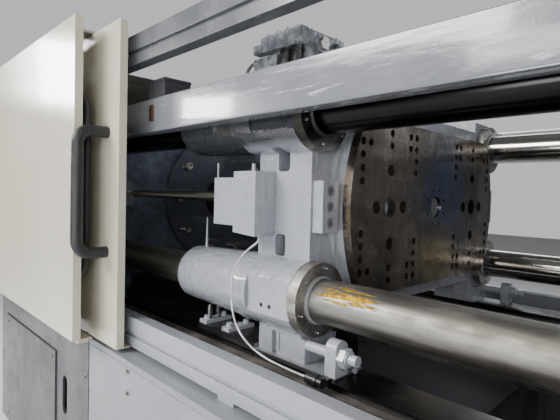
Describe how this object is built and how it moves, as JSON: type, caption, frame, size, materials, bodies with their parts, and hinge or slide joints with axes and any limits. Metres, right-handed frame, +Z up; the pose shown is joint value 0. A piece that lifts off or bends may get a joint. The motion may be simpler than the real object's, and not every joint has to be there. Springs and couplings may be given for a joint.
{
  "type": "injection moulding machine",
  "caption": "Horizontal injection moulding machine: hydraulic clamp with tie bars, moving platen and sliding safety gates, with a screw injection unit.",
  "frame": {"origin": "on the floor, under the middle of the machine's length and width", "axes": "+X from the clamp cylinder to the injection unit, -Y to the operator's side, +Z up"},
  "size_m": [6.02, 1.822, 2.068],
  "materials": {
    "grey_paint": "gloss",
    "bed_paint": "satin",
    "cream_paint": "gloss",
    "bright_steel": "ground",
    "dark_steel": "oily",
    "chromed_steel": "polished",
    "black_plastic": "satin",
    "black_rubber": "matt",
    "white_plastic": "satin",
    "red_plastic": "gloss"
  },
  "bodies": {
    "bed": {"bed_frame": "bed_paint", "front_bed_covers": "bed_paint", "rear_bed_covers": "bed_paint", "access_panel": "bed_paint", "levelling_feet": "dark_steel", "slide_ways": "dark_steel", "upper_beam_front": "grey_paint", "upper_beam_rear": "grey_paint", "tie_bar_upper_front": "dark_steel", "tie_bar_lower_front": "bright_steel", "tie_bars_rear": "bright_steel", "tie_bar_nuts": "dark_steel", "stationary_platen": "grey_paint", "cylinder_platen": "grey_paint", "clamp_cylinder": "grey_paint", "gland_flange": "dark_steel", "gland_bolts": "bright_steel", "traverse_cylinders": "dark_steel", "clamp_guard": "cream_paint", "gate_rail_upper_front": "grey_paint", "gate_rail_lower_front": "grey_paint", "gate_rails_rear": "grey_paint", "terminal_box": "grey_paint", "injection_ways": "bright_steel", "control_cabinet": "cream_paint", "operator_panel": "cream_paint", "pump_motor": "grey_paint"},
    "cabinet_door": {"cabinet_door": "cream_paint"},
    "emergency_stop": {"emergency_stop": "red_plastic"},
    "moving_platen": {"moving_platen": "grey_paint", "mould_plate": "dark_steel", "platen_sleeves": "grey_paint", "wiper_rings": "dark_steel", "rod_anchor_covers": "grey_paint", "stop_block": "grey_paint", "block_screws": "bright_steel", "slide_shoes": "dark_steel", "shoe_bolts": "bright_steel", "main_ram": "chromed_steel", "traverse_rods": "chromed_steel", "valve_manifold": "grey_paint", "manifold_hose": "black_rubber", "ejector_cylinder": "dark_steel", "sensor_cable": "white_plastic", "cable_conduit": "black_plastic"},
    "ejector": {"ejector_rod": "bright_steel"},
    "front_gate": {"front_gate": "cream_paint", "front_gate_handle": "black_plastic"},
    "outer_gate": {"outer_gate": "cream_paint", "outer_gate_handle": "black_plastic"},
    "rear_gate": {"rear_gate": "cream_paint", "rear_gate_handle": "black_plastic"},
    "injection_carriage": {"injection_carriage": "grey_paint", "plasticising_barrel": "bright_steel", "heater_bands": "bright_steel", "injection_cylinders": "dark_steel", "hopper": "cream_paint"},
    "hopper_lid": {"hopper_lid": "cream_paint"},
    "screw_drive": {"screw_drive": "grey_paint"},
    "injection_screw": {"injection_screw": "bright_steel"}
  },
  "joints": [
    {"name": "platen_slide", "type": "slide", "parent": "bed", "child": "moving_platen", "axis": [1, 0, 0], "range_m": [-0.15, 0.45]},
    {"name": "ejector_slide", "type": "slide", "parent": "moving_platen", "child": "ejector", "axis": [1, 0, 0], "range_m": [0, 0.1]},
    {"name": "front_gate_slide", "type": "slide", "parent": "bed", "child": "front_gate", "axis": [1, 0, 0], "range_m": [0, 1.5]},
    {"name": "outer_gate_slide", "type": "slide", "parent": "bed", "child": "outer_gate", "axis": [1, 0, 0], "range_m": [0, 0.5]},
    {"name": "rear_gate_slide", "type": "slide", "parent": "bed", "child": "rear_gate", "axis": [1, 0, 0], "range_m": [0, 1.5]},
    {"name": "carriage_slide", "type": "slide", "parent": "bed", "child": "injection_carriage", "axis": [1, 0, 0], "range_m": [-0.2, 0.1]},
    {"name": "screw_drive_slide", "type": "slide", "parent": "injection_carriage", "child": "screw_drive", "axis": [1, 0, 0], "range_m": [0, 0.25]},
    {"name": "screw_spin", "type": "hinge", "parent": "screw_drive", "child": "injection_screw", "pos_m": [1.62, 0, 1.25], "axis": [1, 0, 0], "continuous": true},
    {"name": "hopper_lid_hinge", "type": "hinge", "parent": "injection_carriage", "child": "hopper_lid", "pos_m": [1.16, 0.267, 2.063], "axis": [1, 0, 0], "range_deg": [-100, 0]},
    {"name": "cabinet_door_hinge", "type": "hinge", "parent": "bed", "child": "cabinet_door", "pos_m": [2.396, -0.803, 1.17], "axis": [0, 0, 1], "range_deg": [0, 110]},
    {"name": "emergency_stop_press", "type": "slide", "parent": "bed", "child": "emergency_stop", "axis": [0, 1, 0], "range_m": [0, 0.004], "stiffness_N_per_m": 900}
  ],
  "couplings": [
    {"joint": "outer_gate_slide", "follows": "front_gate_slide", "ratio": 0.3333}
  ]
}
